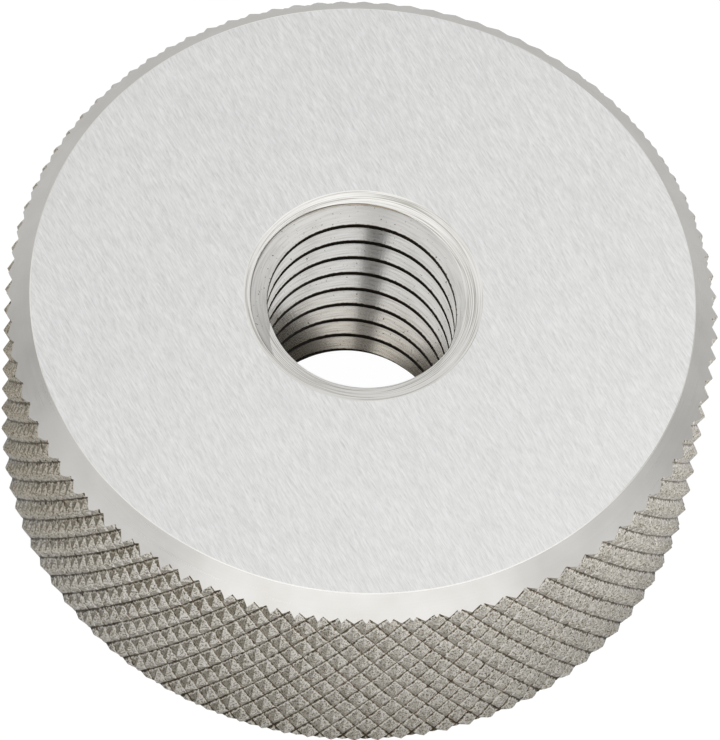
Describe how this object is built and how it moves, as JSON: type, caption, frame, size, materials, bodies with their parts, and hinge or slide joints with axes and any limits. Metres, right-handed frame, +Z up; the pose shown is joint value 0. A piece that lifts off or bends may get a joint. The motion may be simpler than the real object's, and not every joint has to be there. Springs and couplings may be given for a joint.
{
  "type": "thread ring gauge",
  "caption": "Solid round GO thread ring gauge with a metric internal thread, countersunk mouths, flat ground faces and a diamond-knurled rim.",
  "frame": {"origin": "centre of the lower face, on the axis of the bore", "axes": "+Z up along the bore; the knurled rim runs round Z"},
  "size_m": [0.038, 0.038, 0.0165],
  "materials": {
    "steel": "satin"
  },
  "bodies": {
    "root": {"ring_gauge": "steel"}
  },
  "joints": []
}
